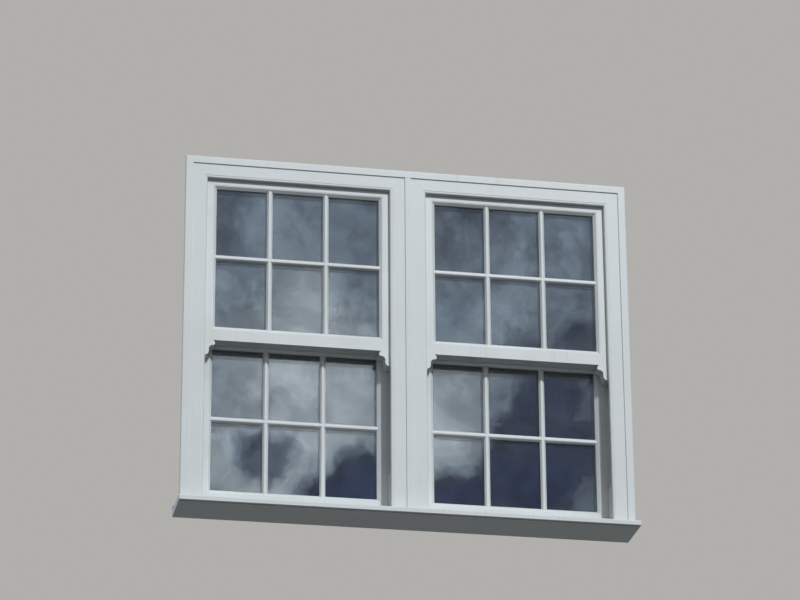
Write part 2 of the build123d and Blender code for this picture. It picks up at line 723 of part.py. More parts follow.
def sash_set(name, centre_x, upper):
    """All pieces that ride on one sash, by node name."""
    y = front_sash_y if upper else rear_sash_y
    bottom, top = (upper_sash_bottom, upper_sash_top) if upper else (lower_sash_bottom, lower_sash_top)
    gaps = (sash_slide_gap, sash_rib_gap) if upper else (sash_rib_gap, sash_slide_gap)
    balance = (upper_tube_bottom, upper_travel) if upper else (lower_tube_bottom, 0)
    place = (centre_x, y, bottom, top)
    nodes = {
        f"{name}_sash": sash(*place, meeting_at_top=not upper),
        f"{name}_glass": glass(*place),
        f"{name}_spacer": spacer(*place),
        f"{name}_beads": beads(*place),
        f"{name}_glazing_bars": glazing_bars(*place),
        f"{name}_pile_seals": pile_seals(*place, *gaps, meeting_pile=upper),
        f"{name}_balance_carriages": balance_carriages(centre_x, y, bottom, *balance),
    }
    for word, side in outward.items():
        nodes[f"{name}_{word}_latch"] = tilt_latch(centre_x, side, y, top)
    fasteners = [(word, side, centre_x + side * fastener_offset) for word, side in outward.items()]
    if upper:
        nodes[f"{name}_horns"] = horns(centre_x, y, upper_rail_underside)
        nodes[f"{name}_keeps"] = [keep(x, side) for word, side, x in fasteners]
    else:
        nodes[f"{name}_fastener_bases"] = [fastener_base(x) for word, side, x in fasteners]
        nodes[f"{name}_lifts"] = [sash_lift(centre_x + side * lift_offset, bottom) for side in (-1, 1)]
        for word, side, x in fasteners:
            nodes[f"{name}_{word}_arm"] = fastener_arm(x, side)
    return nodes


def window():
    """Every node of the coupled window by name."""
    head_trim_bottom = trim_top_z - trim_width
    upstand_z = seat_z + sill_upstand_height
    nodes = {
        "sill": sill(),
        "sill_end_caps": sill_end_caps(),
        "left_frame": frame(-window_offset, -1),
        "right_frame": frame(window_offset, 1),
        "mullion_coupler": mullion_coupler(),
        "mullion_cover_outer": cover_strip(0, trim_thickness, seat_z, head_trim_bottom, -1),
        "mullion_cover_inner": cover_strip(
            frame_depth, mullion_inner_cover_thickness, upstand_z + running_gap, frame_top_z, 1
        ),
        "track_stop_blocks": stop_blocks(),
        "balance_tubes": balance_tubes(),
    }
    nodes.update(wall_trims())
    for word, side in outward.items():
        nodes.update(sash_set(f"upper_{word}", side * window_offset, upper=True))
        nodes.update(sash_set(f"lower_{word}", side * window_offset, upper=False))
    return nodes


os.makedirs("parts", exist_ok=True)
for node, shape in window().items():
    solids = list(shape) if isinstance(shape, (list, tuple, ShapeList)) else [shape]
    export_step(Compound(children=solids) if len(solids) > 1 else solids[0], f"parts/{node}.step")
    print(node, len(solids))
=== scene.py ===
"""Looks of a coupled pair of white vertical sliding sash windows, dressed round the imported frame.

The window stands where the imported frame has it, in metres: X to the right seen from outside, Y into
the room, Z up.
"""

import logging
import math
from collections.abc import Iterable, Mapping, Sequence
from dataclasses import dataclass, field
from enum import Enum

import bmesh
import bpy
from mathutils import Matrix, Vector


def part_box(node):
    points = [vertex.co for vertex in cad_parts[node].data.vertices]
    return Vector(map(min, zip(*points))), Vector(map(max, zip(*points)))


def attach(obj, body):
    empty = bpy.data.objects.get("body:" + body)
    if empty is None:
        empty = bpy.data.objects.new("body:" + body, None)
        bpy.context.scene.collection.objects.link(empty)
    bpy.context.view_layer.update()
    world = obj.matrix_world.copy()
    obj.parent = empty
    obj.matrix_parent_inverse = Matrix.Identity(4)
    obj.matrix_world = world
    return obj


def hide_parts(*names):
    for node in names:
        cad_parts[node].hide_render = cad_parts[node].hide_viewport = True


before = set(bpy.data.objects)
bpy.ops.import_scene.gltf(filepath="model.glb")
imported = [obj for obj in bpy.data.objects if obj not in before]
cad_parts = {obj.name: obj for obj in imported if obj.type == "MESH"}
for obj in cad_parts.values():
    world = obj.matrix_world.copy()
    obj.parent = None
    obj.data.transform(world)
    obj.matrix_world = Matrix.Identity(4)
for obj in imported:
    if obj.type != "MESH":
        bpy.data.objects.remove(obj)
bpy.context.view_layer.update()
MM = 0.001
MERGE = 0.004 * MM
FLAT = math.radians(0.6)
SHARP = math.radians(32.0)
OUTWARD_EDGE = math.radians(40.0)
ROUND_FACETS = 2

logging.basicConfig(level=logging.INFO, format="%(name)s: %(message)s")
log = logging.getLogger("sash_window")

Triple = tuple[float, float, float]
Colour = tuple[float, float, float]


class Level(Enum):
    """Which of a window's two sashes."""

    UPPER = "upper"
    LOWER = "lower"


class Hand(Enum):
    """Left or right seen from outside, with the sign of its X direction."""

    LEFT = -1
    RIGHT = 1

    @property
    def word(self) -> str:
        """The hand as it stands in node names."""
        return self.name.lower()


class Slot(Enum):
    """Material slot names that new pieces carry."""

    PVC = "pvc_white"
    PILE = "pile_grey"
    NYLON_GREY = "nylon_grey"
    NYLON_WHITE = "nylon_white"
    TUBE = "balance_grey"
    HARDWARE = "hardware_white"


class Shade:
    """A value or colour in a material; arithmetic on it adds Math nodes."""

    def __init__(self, book: "NodeBook", socket: bpy.types.NodeSocket) -> None:
        """Wraps one output socket.

        Args:
            book: The node book that the socket belongs to.
            socket: The output socket.
        """
        self.book = book
        self.socket = socket

    def _math(self, operation: str, *values: "Shade | float") -> "Shade":
        """Adds one Math node.

        Args:
            operation: The Math node's operation.
            values: Its inputs in order.

        Returns:
            The node's result.
        """
        return self.book.node("ShaderNodeMath", {"operation": operation}, dict(enumerate(values)))

    def __add__(self, other: "Shade | float") -> "Shade":
        """Sum."""
        return self._math("ADD", self, other)

    def __radd__(self, other: float) -> "Shade":
        """Sum with a number on the left."""
        return self._math("ADD", other, self)

    def __sub__(self, other: "Shade | float") -> "Shade":
        """Difference."""
        return self._math("SUBTRACT", self, other)

    def __rsub__(self, other: float) -> "Shade":
        """Difference from a number on the left."""
        return self._math("SUBTRACT", other, self)

    def __mul__(self, other: "Shade | float") -> "Shade":
        """Product."""
        return self._math("MULTIPLY", self, other)

    def __rmul__(self, other: float) -> "Shade":
        """Product with a number on the left."""
        return self._math("MULTIPLY", other, self)

    def between(self, low: float, high: float) -> "Shade":
        """Runs smoothly from zero at low to one at high, and stays there.

        Args:
            low: Value that gives zero.
            high: Value that gives one.

        Returns:
            The clamped share.
        """
        inputs = {"Value": self, "From Min": low, "From Max": high}
        return self.book.node("ShaderNodeMapRange", {"interpolation_type": "SMOOTHSTEP"}, inputs)


class NodeBook:
    """The node tree of one material or of the world."""

    def __init__(self, tree: bpy.types.NodeTree) -> None:
        """Empties the tree.

        Args:
            tree: The node tree to fill.
        """
        self.tree = tree
        tree.nodes.clear()

    def node(
        self,
        kind: str,
        settings: Mapping[str, object] | None = None,
        inputs: Mapping[object, object] | None = None,
        output: int | str = 0,
    ) -> Shade:
        """Adds any node.

        Args:
            kind: The node's type.
            settings: Its own settings, set first; stops are a colour ramp's (place, colour) pairs.
            inputs: Values or links by socket number, identifier or name.
            output: Which output the result wraps.

        Returns:
            The chosen output.
        """
        node = self.tree.nodes.new(kind)
        for key, value in (settings or {}).items():
            if key == "stops":
                self._set_stops(node.color_ramp, value)
            else:
                setattr(node, key, value)
        for key, value in (inputs or {}).items():
            socket = self._find(node.inputs, key)
            if isinstance(value, Shade):
                self.tree.links.new(value.socket, socket)
            elif isinstance(value, tuple) and len(value) == 3 and socket.type == "RGBA":
                socket.default_value = (*value, 1.0)
            else:
                socket.default_value = value
        return Shade(self, self._find(node.outputs, output))

    @staticmethod
    def _find(sockets: Sequence[bpy.types.NodeSocket], key: int | str) -> bpy.types.NodeSocket:
        """Finds a socket by number, identifier or name."""
        if isinstance(key, int):
            return sockets[key]
        return next((s for s in sockets if s.identifier == key), None) or sockets[key]

    @staticmethod
    def _set_stops(ramp: bpy.types.ColorRamp, stops: Sequence[tuple[float, Colour]]) -> None:
        """Gives a colour ramp its stops."""
        while len(ramp.elements) < len(stops):
            ramp.elements.new(1.0)
        for element, (place, colour) in zip(ramp.elements, stops):
            element.position = place
            element.color = (*colour, 1.0)

    def mix(self, share: Shade | float, first: Shade | Colour, second: Shade | Colour) -> Shade:
        """Blends two colours.

        Args:
            share: Zero for the first, one for the second.
            first: Colour at zero.
            second: Colour at one.

        Returns:
            The blended colour.
        """
        inputs = {"Factor_Float": share, "A_Color": first, "B_Color": second}
        return self.node("ShaderNodeMix", {"data_type": "RGBA"}, inputs, "Result_Color")

    def place(self, scale: Triple) -> Shade:
        """Object coordinates in metres, stretched.

        Args:
            scale: Factor along each axis.

        Returns:
            The coordinates as a vector.
        """
        inputs = {"Vector": self.node("ShaderNodeTexCoord", output="Object"), "Scale": scale}
        return self.node("ShaderNodeMapping", {"vector_type": "POINT"}, inputs)

    def noise(
        self, size: float, detail: float = 3.0, stretch: Triple = (1.0, 1.0, 1.0), warp: float = 0.0
    ) -> Shade:
        """Noise with spots about as large as size.

        Args:
            size: Spot size in metres.
            detail: Octaves.
            stretch: How much longer the spots are along each axis.
            warp: Distortion.

        Returns:
            The noise from zero to one.
        """
        scale = tuple(1.0 / (size * part) for part in stretch)
        inputs = {"Vector": self.place(scale), "Scale": 1.0, "Detail": detail, "Distortion": warp}
        return self.node("ShaderNodeTexNoise", {"noise_dimensions": "3D"}, inputs, "Fac")

    def facing(self, axis: str) -> Shade:
        """One component of the surface's direction, X, Y or Z."""
        normal = self.node("ShaderNodeNewGeometry", output="Normal")
        return self.node("ShaderNodeSeparateXYZ", inputs={"Vector": normal}, output=axis)

    def ray(self, kind: str) -> Shade:
        """One for rays of a kind, such as Glossy, else zero."""
        return self.node("ShaderNodeLightPath", output=f"Is {kind} Ray")

    def bump(self, height: Shade, strength: float, distance: float) -> Shade:
        """Bump from a height value.

        Args:
            height: Height from zero to one.
            strength: Share of the effect.
            distance: Height of one in metres.

        Returns:
            The bent normal.
        """
        inputs = {"Height": height, "Strength": strength, "Distance": distance}
        return self.node("ShaderNodeBump", inputs=inputs)

    def vector(
        self, operation: str, *values: Shade | Triple, output: int | str = 0, **named: Shade | float
    ) -> Shade:
        """Adds one Vector Math node.

        Args:
            operation: The node's operation.
            values: Its vectors in order.
            output: Which output the result wraps.
            named: Other inputs by name.

        Returns:
            The node's result.
        """
        inputs = {**dict(enumerate(values)), **named}
        return self.node("ShaderNodeVectorMath", {"operation": operation}, inputs, output)

    def surface(self, **sockets: object) -> None:
        """Adds the Principled shader and the output.

        Args:
            sockets: Values or links, with underscores for the spaces in socket names.
        """
        inputs = {key.replace("_", " "): value for key, value in sockets.items()}
        shader = self.node("ShaderNodeBsdfPrincipled", None, inputs, "BSDF")
        self.node_output("ShaderNodeOutputMaterial", shader)

    def node_output(self, kind: str, shader: Shade) -> None:
        """Links a shader to a new output node."""
        node = self.tree.nodes.new(kind)
        self.tree.links.new(shader.socket, node.inputs["Surface"])


def new_material(name: str) -> tuple[bpy.types.Material, NodeBook]:
    """Makes an empty node material.

    Args:
        name: Name of the finish.

    Returns:
        The material and its node book.
    """
    material = bpy.data.materials.new(name)
    material.use_nodes = True
    return material, NodeBook(material.node_tree)


@dataclass(frozen=True)
class ExtrudedPvc:
    """White window PVC-U, weathered: faint rain streaks, dust on ledges, and painted shade on downward
    faces, mottled like drip grime.
    """

    name: str
    colour: Colour = (0.690, 0.718, 0.730)
    aged: Colour = (0.665, 0.682, 0.676)
    # Dark grime colour: real grime for streaks, dust and specks, and also the painted shade on downward
    # faces.
    grime: Colour = (0.270, 0.270, 0.245)
    streaks: float = 0.20
    ledge_dust: float = 0.20
    # Strength of the painted shade on downward faces, mottled by drip-like noise.
    under_grime: float = 0.30
    specks: float = 0.20
    roughness: float = 0.30

    def build(self) -> bpy.types.Material:
        """Makes the material."""
        material, book = new_material(self.name)
        cloudy = book.noise(0.22, 3.0)
        plain = book.mix(cloudy.between(0.35, 0.70), self.colour, self.aged)
        runs = book.noise(0.012, 4.0, (1.0, 1.0, 22.0)).between(0.52, 0.78)
        patches = book.noise(0.16, 2.0, (1.0, 1.0, 1.6)).between(0.45, 0.62)
        streaked = book.mix(runs * patches * self.streaks, plain, self.grime)
        up = book.facing("Z")
        drifts, crumbs = book.noise(0.16, 3.0), book.noise(0.018, 4.0)
        settled = drifts.between(0.30, 0.70) * 0.5 + crumbs.between(0.25, 0.80) * 0.5
        dust = up.between(0.55, 0.95) * settled
        dusty = book.mix(dust * self.ledge_dust, streaked, self.grime)
        drips = book.noise(0.012, 5.0, (2.5, 1.0, 1.0))
        # Painted shade: every downward face is darkened toward the grime colour, more where the drip noise
        # is high.
        shaded_underside = (0.0 - up).between(0.6, 0.98) * (drips.between(0.25, 0.85) * 0.4 + 0.6)
        with_underside_shade = book.mix(shaded_underside * self.under_grime, dusty, self.grime)
        flecks = book.noise(0.0035, 1.0).between(0.70, 0.76) * patches
        coloured = book.mix(flecks * self.specks, with_underside_shade, self.grime)
        skin = book.noise(0.0012, 2.0, (1.0, 1.0, 6.0))
        book.surface(
            Base_Color=coloured,
            Roughness=self.roughness + runs * 0.10 + dust * 0.25 + cloudy * 0.06,
            Normal=book.bump(skin, 0.12, 0.0002),
            IOR=1.52,
        )
        return material


@dataclass(frozen=True)
class WindowGlass:
    """Coated float glass of the sealed unit: clear, faintly tinted, with a thin film of dust."""

    name: str = "float_glass"
    tint: Colour = (0.895, 0.905, 0.915)
    film: Colour = (0.820, 0.830, 0.835)
    index: float = 1.62

    def build(self) -> bpy.types.Material:
        """Makes the material."""
        material, book = new_material(self.name)
        film = book.noise(0.30, 4.0, warp=0.4).between(0.35, 0.75)
        smears = book.noise(0.018, 3.0, (1.0, 1.0, 7.0)).between(0.55, 0.80)
        ripple = book.noise(0.35, 1.0)
        book.surface(
            Base_Color=book.mix(film * 0.5, self.tint, self.film),
            Roughness=smears * 0.03,
            Transmission_Weight=1.0,
            Normal=book.bump(ripple, 0.25, 0.0006),
            IOR=self.index,
        )
        return material


@dataclass(frozen=True)
class RolledAluminium:
    """Mill aluminium of the spacer bar, with its two rows of breathing holes."""

    name: str = "spacer_bar_aluminium"
    colour: Colour = (0.56, 0.57, 0.58)
    dull: Colour = (0.42, 0.43, 0.45)
    hole: Colour = (0.05, 0.05, 0.05)
    hole_pitch: float = 3.0 * MM

    def build(self) -> bpy.types.Material:
        """Makes the material."""
        material, book = new_material(self.name)
        rolled = book.noise(0.0025, 3.0, (9.0, 1.0, 9.0))
        scale = (1.0 / self.hole_pitch,) * 3
        cells = {"Vector": book.place(scale), "Scale": 1.0, "Randomness": 0.0}
        spacing = book.node("ShaderNodeTexVoronoi", {"feature": "F1"}, cells, "Distance")
        holes = 1.0 - spacing.between(0.16, 0.22)
        book.surface(
            Base_Color=book.mix(holes, book.mix(rolled, self.colour, self.dull), self.hole),
            Metallic=1.0 - holes,
            Roughness=0.34 + rolled * 0.16,
            Normal=book.bump(rolled, 0.10, 0.0002),
        )
        return material


@dataclass(frozen=True)
class BrushPile:
    """Grey weather pile: short woven fibres, a little dusty."""

    name: str = "weather_pile"
    colour: Colour = (0.20, 0.20, 0.21)
    dusty: Colour = (0.36, 0.35, 0.33)

    def build(self) -> bpy.types.Material:
        """Makes the material."""
        material, book = new_material(self.name)
        fibres = book.noise(0.0006, 3.0, (1.0, 6.0, 1.0))
        tufts = book.noise(0.006, 3.0)
        book.surface(
            Base_Color=book.mix(tufts.between(0.35, 0.70) * 0.7 + fibres * 0.3, self.colour, self.dusty),
            Roughness=0.92,
            Normal=book.bump(fibres, 0.9, 0.0008),
            Sheen_Weight=0.35,
            Sheen_Roughness=0.5,
        )
        return material


@dataclass(frozen=True)
class MouldedPlastic:
    """Injection-moulded plastic with fine spark texture and scuffs."""

    name: str
    colour: Colour
    scuffed: Colour
    roughness: float = 0.46

    def build(self) -> bpy.types.Material:
        """Makes the material."""
        material, book = new_material(self.name)
        spark = book.noise(0.0007, 2.0)
        scuffs = book.noise(0.012, 5.0, (1.0, 1.0, 3.0)).between(0.48, 0.70)
        flow = book.noise(0.05, 2.0)
        book.surface(
            Base_Color=book.mix(scuffs * 0.5 + flow * 0.2, self.colour, self.scuffed),
            Roughness=self.roughness + scuffs * 0.15 + spark * 0.05,
            Normal=book.bump(spark, 0.25, 0.0002),
        )
        return material


@dataclass(frozen=True)
class CoatedMetal:
    """White powder coat on die-cast hardware: slight orange peel, duller where fingers rub."""

    name: str = "white_powder_coat"
    colour: Colour = (0.72, 0.72, 0.70)
    rubbed: Colour = (0.52, 0.51, 0.48)

    def build(self) -> bpy.types.Material:
        """Makes the material."""
        material, book = new_material(self.name)
        peel = book.noise(0.0016, 2.0)
        rubs = book.noise(0.014, 4.0).between(0.50, 0.72)
        book.surface(
            Base_Color=book.mix(rubs * 0.45, self.colour, self.rubbed),
            Roughness=0.28 + rubs * 0.22,
            Normal=book.bump(peel, 0.30, 0.0003),
            Coat_Weight=0.25,
            Coat_Roughness=0.15,
        )
        return material


@dataclass(frozen=True)
class PlatedSteel:
    """Zinc-plated steel of screws and spiral rods, lightly tarnished."""

    name: str
    colour: Colour = (0.55, 0.55, 0.53)
    tarnish: Colour = (0.28, 0.26, 0.23)

    def build(self) -> bpy.types.Material:
        """Makes the material."""
        material, book = new_material(self.name)
        spots = book.noise(0.004, 4.0).between(0.48, 0.68)
        grain = book.noise(0.0008, 2.0, (1.0, 1.0, 8.0))
        book.surface(
            Base_Color=book.mix(spots * 0.6, self.colour, self.tarnish),
            Metallic=1.0 - spots * 0.25,
            Roughness=0.30 + spots * 0.25 + grain * 0.08,
            Normal=book.bump(grain, 0.15, 0.0001),
        )
        return material


@dataclass(frozen=True)
class SealRubber:
    """Grey co-extruded glazing seal, matt and a little chalked."""

    name: str = "glazing_seal"
    colour: Colour = (0.22, 0.225, 0.23)
    chalked: Colour = (0.36, 0.36, 0.35)

    def build(self) -> bpy.types.Material:
        """Makes the material."""
        material, book = new_material(self.name)
        chalk = book.noise(0.03, 4.0, (2.0, 1.0, 2.0)).between(0.35, 0.70)
        grain = book.noise(0.0009, 2.0)
        book.surface(
            Base_Color=book.mix(chalk * 0.6, self.colour, self.chalked),
            Roughness=0.70 + grain * 0.12,
            Normal=book.bump(grain, 0.3, 0.0002),
        )
        return material


class Finishes:
    """All finishes, each made once."""

    def __init__(self) -> None:
        """Builds every material."""
        self.frame_pvc = ExtrudedPvc("frame_pvc").build()
        self.sash_pvc = ExtrudedPvc("sash_pvc", (0.725, 0.752, 0.764), streaks=0.12).build()
        self.sill_pvc = ExtrudedPvc("sill_pvc", streaks=0.30, ledge_dust=0.30, roughness=0.34).build()
        # Weld lines are real, but their darker grey is painted shade of the cleaned weld groove.
        self.weld = ExtrudedPvc("weld_line_pvc", (0.550, 0.568, 0.568), roughness=0.45).build()
        self.glass = WindowGlass().build()
        self.spacer = RolledAluminium().build()
        self.pile = BrushPile().build()
        grey, chalky = (0.24, 0.25, 0.26), (0.36, 0.36, 0.35)
        white, yellowed = (0.66, 0.66, 0.63), (0.50, 0.49, 0.46)
        silvery, dark = (0.44, 0.45, 0.46), (0.33, 0.33, 0.33)
        self.nylon_grey = MouldedPlastic("grey_nylon", grey, chalky).build()
        self.nylon_white = MouldedPlastic("white_nylon", white, yellowed).build()
        self.tube = MouldedPlastic("balance_tube_plastic", silvery, dark, 0.38).build()
        self.hardware = CoatedMetal().build()
        self.steel = PlatedSteel("zinc_plated_steel").build()
        self.seal = SealRubber().build()


def all_parts(mesh: bmesh.types.BMesh) -> list:
    """Every vertex, edge and face of a mesh."""
    return [*mesh.verts, *mesh.edges, *mesh.faces]


def only(kind: type, parts: Iterable[object]) -> list:
    """The parts of an operator's result that are of one kind."""
    return [part for part in parts if isinstance(part, kind)]


def node_copy(node: str) -> bmesh.types.BMesh:
    """Copies a CAD node's mesh, joined up and with its flat faces whole.

    Args:
        node: The node's name.

    Returns:
        The new mesh.
    """
    mesh = bmesh.new()
    mesh.from_mesh(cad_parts[node].data)
    bmesh.ops.remove_doubles(mesh, verts=mesh.verts, dist=MERGE)
    bmesh.ops.dissolve_limit(mesh, angle_limit=FLAT, verts=mesh.verts, edges=mesh.edges)
    return mesh


def solid_boxes(node: str) -> list[tuple[Vector, Vector]]:
    """Finds the box of each separate solid of a node.

    Args:
        node: The node's name.

    Returns:
        Lowest and highest corner of each solid.
    """
    mesh = node_copy(node)
    left = set(mesh.verts)
    boxes = []
    while left:
        group, waiting = set(), [left.pop()]
        while waiting:
            vert = waiting.pop()
            group.add(vert)
            near = {e.other_vert(vert) for e in vert.link_edges} & left
            left -= near
            waiting += near
        corners = (Vector([pick(v.co[i] for v in group) for i in range(3)]) for pick in (min, max))
        boxes.append(tuple(corners))
    mesh.free()
    return sorted(boxes, key=lambda corners: tuple(corners[0]))


def soften(mesh: bmesh.types.BMesh, radius: float) -> None:
    """Rounds the outward edges of a mesh.

    Args:
        mesh: The mesh to change.
        radius: Offset of the rounding.
    """
    joints = [e for e in mesh.edges if len(e.link_faces) == 2]
    bmesh.ops.bevel(
        mesh,
        geom=[e for e in joints if e.calc_face_angle_signed(0.0) > OUTWARD_EDGE],
        offset=radius,
        offset_type="OFFSET",
        segments=ROUND_FACETS,
        profile=0.5,
        affect="EDGES",
        clamp_overlap=True,
        material=-1,
    )


def smooth_over(mesh: bmesh.types.BMesh) -> None:
    """Shades faces smooth, with sharp edges where they turn by more than SHARP."""
    for face in mesh.faces:
        face.smooth = True
    for edge in mesh.edges:
        edge.smooth = len(edge.link_faces) == 2 and edge.calc_face_angle(0.0) < SHARP


def new_object(name: str, mesh: bmesh.types.BMesh, material: bpy.types.Material) -> bpy.types.Object:
    """Makes an object at the origin from a mesh.

    Args:
        name: Its name.
        mesh: The mesh, which is freed.
        material: Its only material.

    Returns:
        The object, in the scene.
    """
    data = bpy.data.meshes.new(name)
    mesh.to_mesh(data)
    mesh.free()
    data.materials.append(material)
    made = bpy.data.objects.new(name, data)
    bpy.context.scene.collection.objects.link(made)
    return made


@dataclass
class Piece:
    """One finished object: its mesh, what carries it and what it is made of."""

    name: str
    mesh: bmesh.types.BMesh
    material: bpy.types.Material
    body: str
    slot: Slot
    replaced: tuple[str, ...] = ()

    def place(self) -> None:
        """Makes the object and ties it to its body."""
        smooth_over(self.mesh)
        piece = new_object(self.name, self.mesh, self.material)
        weighted = piece.modifiers.new("weighted_normals", "WEIGHTED_NORMAL")
        weighted.keep_sharp = True
        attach(piece, self.body)
        if self.replaced:
            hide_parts(*self.replaced)
        log.info("%s rides on %s with %d faces", self.name, self.body, len(piece.data.polygons))


def dress_node(node: str, material: bpy.types.Material) -> None:
    """Gives a CAD node that stays its finish."""
    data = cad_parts[node].data
    data.materials.clear()
    data.materials.append(material)
    log.info("%s keeps its shape and takes %s", node, material.name)


def dress_copy(node: str, material: bpy.types.Material, body: str, slot: Slot, radius: float = 0.0) -> None:
    """Replaces a node by its own shape, with its outward edges rounded.

    Args:
        node: The node's name.
        material: Its finish.
        body: What carries it.
        slot: Its material slot, kept but not used.
        radius: Rounding of its outward edges, or zero.
    """
    mesh = node_copy(node)
    if radius:
        soften(mesh, radius)
    Piece(f"{node}_dressed", mesh, material, body, slot, (node,)).place()


def joined(meshes: Iterable[bmesh.types.BMesh]) -> bmesh.types.BMesh:
    """Puts several meshes into one.

    Args:
        meshes: The meshes, which are freed.

    Returns:
        One mesh.
    """
    whole = bmesh.new()
    for mesh in meshes:
        data = bpy.data.meshes.new("joining")
        mesh.to_mesh(data)
        mesh.free()
        whole.from_mesh(data)
        bpy.data.meshes.remove(data)
    return whole


def moved(mesh: bmesh.types.BMesh, matrix: Matrix) -> bmesh.types.BMesh:
    """Moves a mesh by a matrix and returns it."""
    bmesh.ops.transform(mesh, matrix=matrix, verts=mesh.verts)
    return mesh


def rectangle_ring(
    width: float, height: float, thickness: float, depth: float, radius: float
) -> bmesh.types.BMesh:
    """Mitred strip round a rectangle in the XZ plane, centred, from y = 0 to y = depth.

    Args:
        width: Outer width.
        height: Outer height.
        thickness: How far it reaches inward.
        depth: Size along Y.
        radius: Rounding of its outward edges.

    Returns:
        The mesh.
    """
    mesh = bmesh.new()
    bmesh.ops.create_grid(mesh, x_segments=1, y_segments=1, size=0.5)
    bmesh.ops.scale(mesh, vec=(width, height, 1.0), verts=mesh.verts)
    bmesh.ops.rotate(mesh, matrix=Matrix.Rotation(math.radians(90), 3, "X"), verts=mesh.verts)
    middle = list(mesh.faces)
    bmesh.ops.inset_region(mesh, faces=middle, thickness=thickness, use_even_offset=True, use_boundary=True)
    bmesh.ops.delete(mesh, geom=middle, context="FACES")
    lifted = bmesh.ops.extrude_face_region(mesh, geom=list(mesh.faces))["geom"]
    bmesh.ops.translate(mesh, vec=(0.0, depth, 0.0), verts=only(bmesh.types.BMVert, lifted))
    bmesh.ops.recalc_face_normals(mesh, faces=mesh.faces)
    soften(mesh, radius)
    return mesh


@dataclass(frozen=True)
class ScrewSize:
    """Sizes of a raised countersunk head with a cross recess.

    The crown is its flat top as a share of the radius. Each skirt below it is given by how much it
    spreads and by its share of the height. The twists are turns in degrees from one head to the next.
    """

    radius: float = 3.6 * MM
    height: float = 1.3 * MM
    arm_reach: float = 1.9 * MM
    arm_half: float = 0.42 * MM
    recess: float = 0.9 * MM
    crown: float = 0.74
    skirts: tuple[tuple[float, float], ...] = ((1.22, 0.35), (1.107, 0.65))
    sides: int = 24
    first_twist: float = 23.0
    next_twist: float = 41.0


def screw_head(size: ScrewSize = ScrewSize()) -> bmesh.types.BMesh:
    """Screw head standing on z = 0.

    Args:
        size: Its sizes.

    Returns:
        The mesh.
    """
    mesh = bmesh.new()
    bmesh.ops.create_circle(mesh, cap_ends=True, radius=size.radius * size.crown, segments=size.sides)
    for axis in (Vector((1, 0, 0)), Vector((0, 1, 0))):
        for offset in (-size.arm_reach, -size.arm_half, size.arm_half, size.arm_reach):
            bmesh.ops.bisect_plane(mesh, geom=all_parts(mesh), plane_co=axis * offset, plane_no=axis)
    cross = []
    for face in mesh.faces:
        x, y = (abs(part) for part in face.calc_center_median().xy)
        if min(x, y) < size.arm_half and max(x, y) < size.arm_reach:
            cross.append(face)
    sunk = bmesh.ops.extrude_face_region(mesh, geom=cross)["geom"]
    bmesh.ops.translate(mesh, vec=(0, 0, -size.recess), verts=only(bmesh.types.BMVert, sunk))
    bmesh.ops.delete(mesh, geom=cross, context="FACES")
    for spread, drop in size.skirts:
        rim = [e for e in mesh.edges if e.is_boundary]
        lower = only(bmesh.types.BMVert, bmesh.ops.extrude_edge_only(mesh, edges=rim)["geom"])
        bmesh.ops.scale(mesh, vec=(spread, spread, 1.0), verts=lower)
        bmesh.ops.translate(mesh, vec=(0, 0, -size.height * drop), verts=lower)
    bmesh.ops.edgeloop_fill(mesh, edges=[e for e in mesh.edges if e.is_boundary])
    bmesh.ops.recalc_face_normals(mesh, faces=mesh.faces)
    bmesh.ops.translate(mesh, vec=(0, 0, size.height), verts=mesh.verts)
    return mesh


def screws_at(
    places: Sequence[Vector], direction: Vector, size: ScrewSize = ScrewSize()
) -> bmesh.types.BMesh:
    """Screw heads at several places, all facing one way.

    Args:
        places: Where each head sits on its surface.
        direction: The way out of the surface.
        size: Sizes of the heads.

    Returns:
        One mesh.
    """
    turn = direction.to_track_quat("Z", "Y").to_matrix().to_4x4()
    heads = []
    for index, place in enumerate(places):
        twist = Matrix.Rotation(math.radians(size.first_twist + size.next_twist * index), 4, "Z")
        heads.append(moved(screw_head(size), Matrix.Translation(place) @ turn @ twist))
    return joined(heads)


def twisted_rod(
    width: float, thickness: float, length: float, turn: float, steps_per_turn: int = 14
) -> bmesh.types.BMesh:
    """Flat strip twisted into a spiral, standing on z = 0.

    Args:
        width: Width of the strip.
        thickness: Its thickness.
        length: Height of the rod.
        turn: Height of one full turn.
        steps_per_turn: Facets of one turn.

    Returns:
        The mesh.
    """
    mesh = bmesh.new()
    bmesh.ops.create_grid(mesh, x_segments=1, y_segments=1, size=0.5)
    bmesh.ops.scale(mesh, vec=(width, thickness, 1.0), verts=mesh.verts)
    steps = max(4, round(length / turn * steps_per_turn))
    bmesh.ops.spin(
        mesh,
        geom=[*mesh.faces, *mesh.edges, *mesh.verts],
        cent=(0, 0, 0),
        axis=(0, 0, 1),
        dvec=(0, 0, length / steps),
        angle=2 * math.pi * length / turn,
        steps=steps,
        use_duplicate=False,
    )
    bmesh.ops.recalc_face_normals(mesh, faces=mesh.faces)
    return mesh


def add_block(mesh: bmesh.types.BMesh, middle: Vector, span: Vector) -> list[bmesh.types.BMVert]:
    """Adds a block to a mesh and returns its vertices."""
    matrix = Matrix.Translation(middle) @ Matrix.Diagonal((*span, 1.0))
    return bmesh.ops.create_cube(mesh, size=1.0, matrix=matrix)["verts"]


@dataclass(frozen=True)
class PileSize:
    """Sizes of a strip of brush pile.

    Its tufts lean by a wave with lean_step from one to the next; backing is its share of the depth.
    """

    pitch: float = 3.0 * MM
    tuft: float = 2.2 * MM
    lean: float = 0.25 * MM
    lean_step: float = 2.4
    backing: float = 0.45


